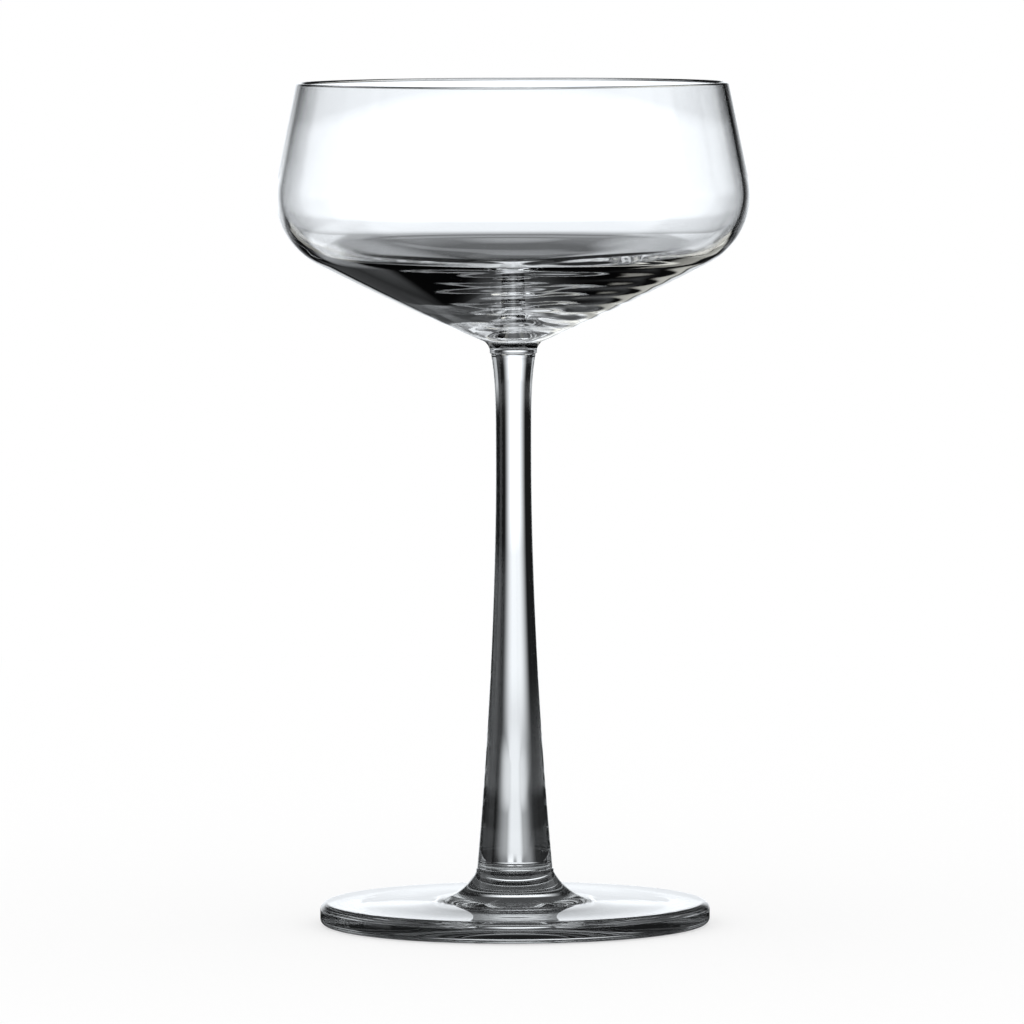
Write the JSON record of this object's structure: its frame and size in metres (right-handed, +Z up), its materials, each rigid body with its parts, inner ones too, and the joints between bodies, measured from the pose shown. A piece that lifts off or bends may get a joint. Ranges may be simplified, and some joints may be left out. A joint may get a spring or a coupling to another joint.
{
  "type": "coupe glass",
  "caption": "Clear stemmed coupe glass: wide shallow bowl with a soft belly and straight inward wall, on a tapered stem and a thick round foot.",
  "frame": {"origin": "centre of the foot's underside, in the plane that the glass stands on", "axes": "+Z up along the glass's axis of revolution, from the foot to the rim; X and Y level, with no preferred direction"},
  "size_m": [0.108, 0.108, 0.192],
  "materials": {
    "bowl_glass": "clear, fire-polished, thin-walled",
    "stem_glass": "clear, fire-polished, solid",
    "foot_glass": "clear, fire-polished, solid, faint green at the edge"
  },
  "bodies": {
    "root": {"bowl": "bowl_glass", "stem": "stem_glass", "foot": "foot_glass"}
  },
  "joints": []
}
